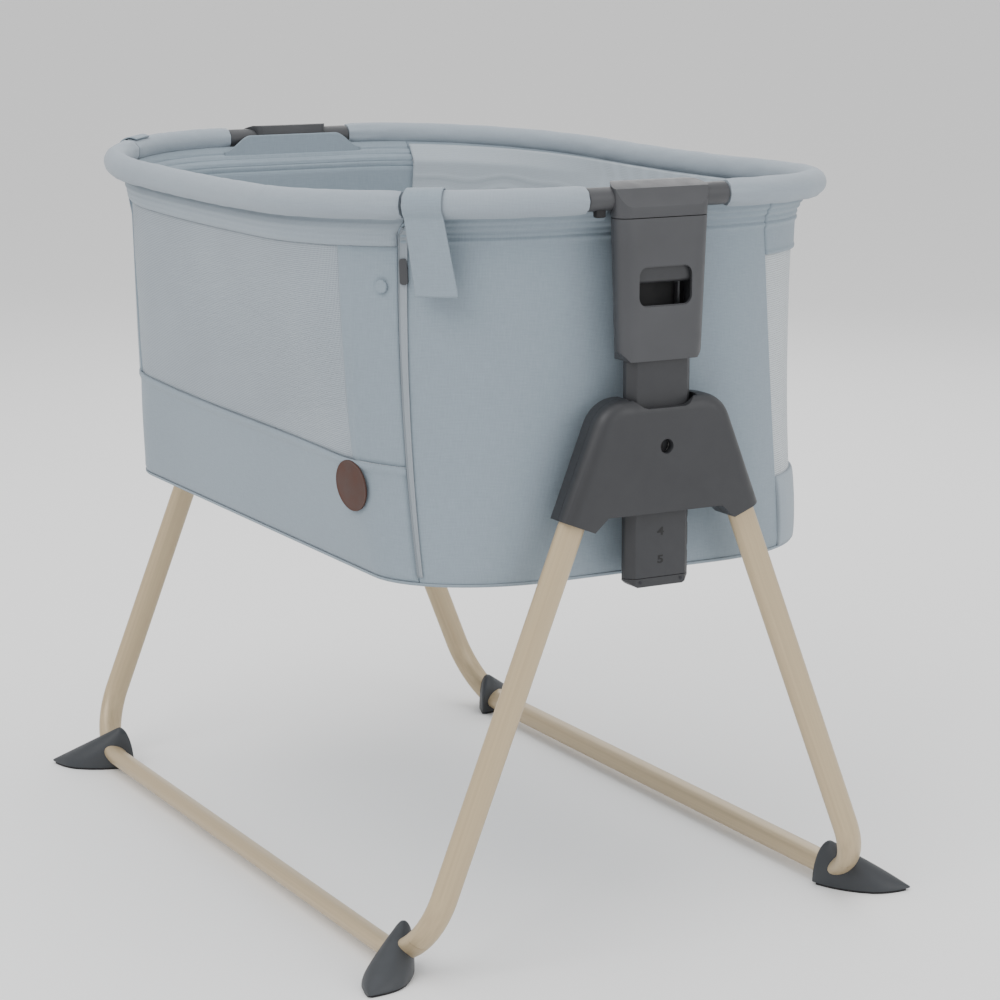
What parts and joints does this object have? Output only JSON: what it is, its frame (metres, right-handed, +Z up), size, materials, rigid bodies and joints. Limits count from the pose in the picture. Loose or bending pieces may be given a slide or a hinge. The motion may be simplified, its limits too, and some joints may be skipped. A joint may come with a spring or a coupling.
{
  "type": "bassinet",
  "caption": "Bedside bassinet: a padded fabric and mesh tub with a fold-down side that slides up and down on a splayed tube stand.",
  "frame": {"origin": "on the floor under the middle of the tub, at the bottom centre of the bounding box", "axes": "+X along the bassinet towards its near end, +Y towards the mesh side and away from the drop side, +Z up"},
  "size_m": [0.861, 0.6098, 0.729],
  "materials": {
    "beige_tube": "satin beige, wood-like tint",
    "housing_plastic": "fine-grained matte, dark grey",
    "pod_plastic": "fine-grained matte, mid grey",
    "sole_rubber": "matte black",
    "guide_plastic": "slippery off-white",
    "steel": "plain steel",
    "fabric": "fine weave, blue-grey",
    "mesh_fabric": "sheer mesh, pale grey",
    "board": "plain board",
    "ticking": "soft knitted cover, pale grey",
    "leather": "smooth brown, plain"
  },
  "bodies": {
    "stand": {"near_left_leg": "beige_tube", "near_left_foot": "housing_plastic", "near_left_foot_pad": "sole_rubber", "near_right_leg": "beige_tube", "near_right_foot": "housing_plastic", "near_right_foot_pad": "sole_rubber", "near_housing_outer": "housing_plastic", "near_housing_inner": "housing_plastic", "near_rail_guide": "guide_plastic", "near_bolt_spring": "steel", "far_left_leg": "beige_tube", "far_left_foot": "housing_plastic", "far_left_foot_pad": "sole_rubber", "far_right_leg": "beige_tube", "far_right_foot": "housing_plastic", "far_right_foot_pad": "sole_rubber", "far_housing_outer": "housing_plastic", "far_housing_inner": "housing_plastic", "far_rail_guide": "guide_plastic", "far_bolt_spring": "steel", "left_floor_bar": "beige_tube", "right_floor_bar": "beige_tube"},
    "carriage": {"near_rail": "housing_plastic", "near_rail_cap": "housing_plastic", "near_pod_front": "pod_plastic", "near_pod_back": "pod_plastic", "near_pod_cap": "pod_plastic", "near_barrel": "housing_plastic", "near_end_wall": "fabric", "near_corner_padding": "fabric", "near_corner_flap": "fabric", "near_lever_spring": "steel", "far_rail": "housing_plastic", "far_rail_cap": "housing_plastic", "far_pod_front": "pod_plastic", "far_pod_back": "pod_plastic", "far_pod_cap": "pod_plastic", "far_barrel": "housing_plastic", "far_end_wall": "fabric", "far_corner_padding": "fabric", "far_corner_flap": "fabric", "far_lever_spring": "steel", "mesh_side": "mesh_fabric", "bottom_cover": "fabric", "base_board": "board", "mattress": "ticking", "rim_hoop": "steel", "mesh_side_padding": "fabric"},
    "drop_side_panel": {"drop_side": "fabric", "drop_bar": "steel", "drop_bar_padding": "fabric", "round_badge": "leather"},
    "near_bolt": {"near_lock_bolt": "steel"},
    "near_lever": {"near_release_lever": "housing_plastic", "near_release_strip": "steel"},
    "near_zip": {"near_zip_pull": "housing_plastic"},
    "far_bolt": {"far_lock_bolt": "steel"},
    "far_lever": {"far_release_lever": "housing_plastic", "far_release_strip": "steel"},
    "far_zip": {"far_zip_pull": "housing_plastic"}
  },
  "joints": [
    {"name": "height_slide", "type": "slide", "parent": "stand", "child": "carriage", "axis": [0, 0, 1], "range_m": [0, 0.1068]},
    {"name": "near_bolt_slide", "type": "slide", "parent": "stand", "child": "near_bolt", "axis": [0, -1, 0], "range_m": [0, 0.006], "stiffness_N_per_m": 250, "springref_m": 0.006},
    {"name": "far_bolt_slide", "type": "slide", "parent": "stand", "child": "far_bolt", "axis": [0, 1, 0], "range_m": [0, 0.006], "stiffness_N_per_m": 250, "springref_m": 0.006},
    {"name": "near_lever_slide", "type": "slide", "parent": "carriage", "child": "near_lever", "axis": [0, 0, 1], "range_m": [0, 0.008], "stiffness_N_per_m": 300, "deforming": ["near_lever_spring"]},
    {"name": "far_lever_slide", "type": "slide", "parent": "carriage", "child": "far_lever", "axis": [0, 0, 1], "range_m": [0, 0.008], "stiffness_N_per_m": 300, "deforming": ["far_lever_spring"]},
    {"name": "drop_side_hinge", "type": "hinge", "parent": "carriage", "child": "drop_side_panel", "pos_m": [0, -0.229, 0.3605], "axis": [1, 0, 0], "range_deg": [0, 155]},
    {"name": "near_zip_slide", "type": "slide", "parent": "carriage", "child": "near_zip", "axis": [0.0536, 0.0208, -0.9983], "range_m": [0, 0.25]},
    {"name": "far_zip_slide", "type": "slide", "parent": "carriage", "child": "far_zip", "axis": [-0.0536, 0.0208, -0.9983], "range_m": [0, 0.25]}
  ]
}
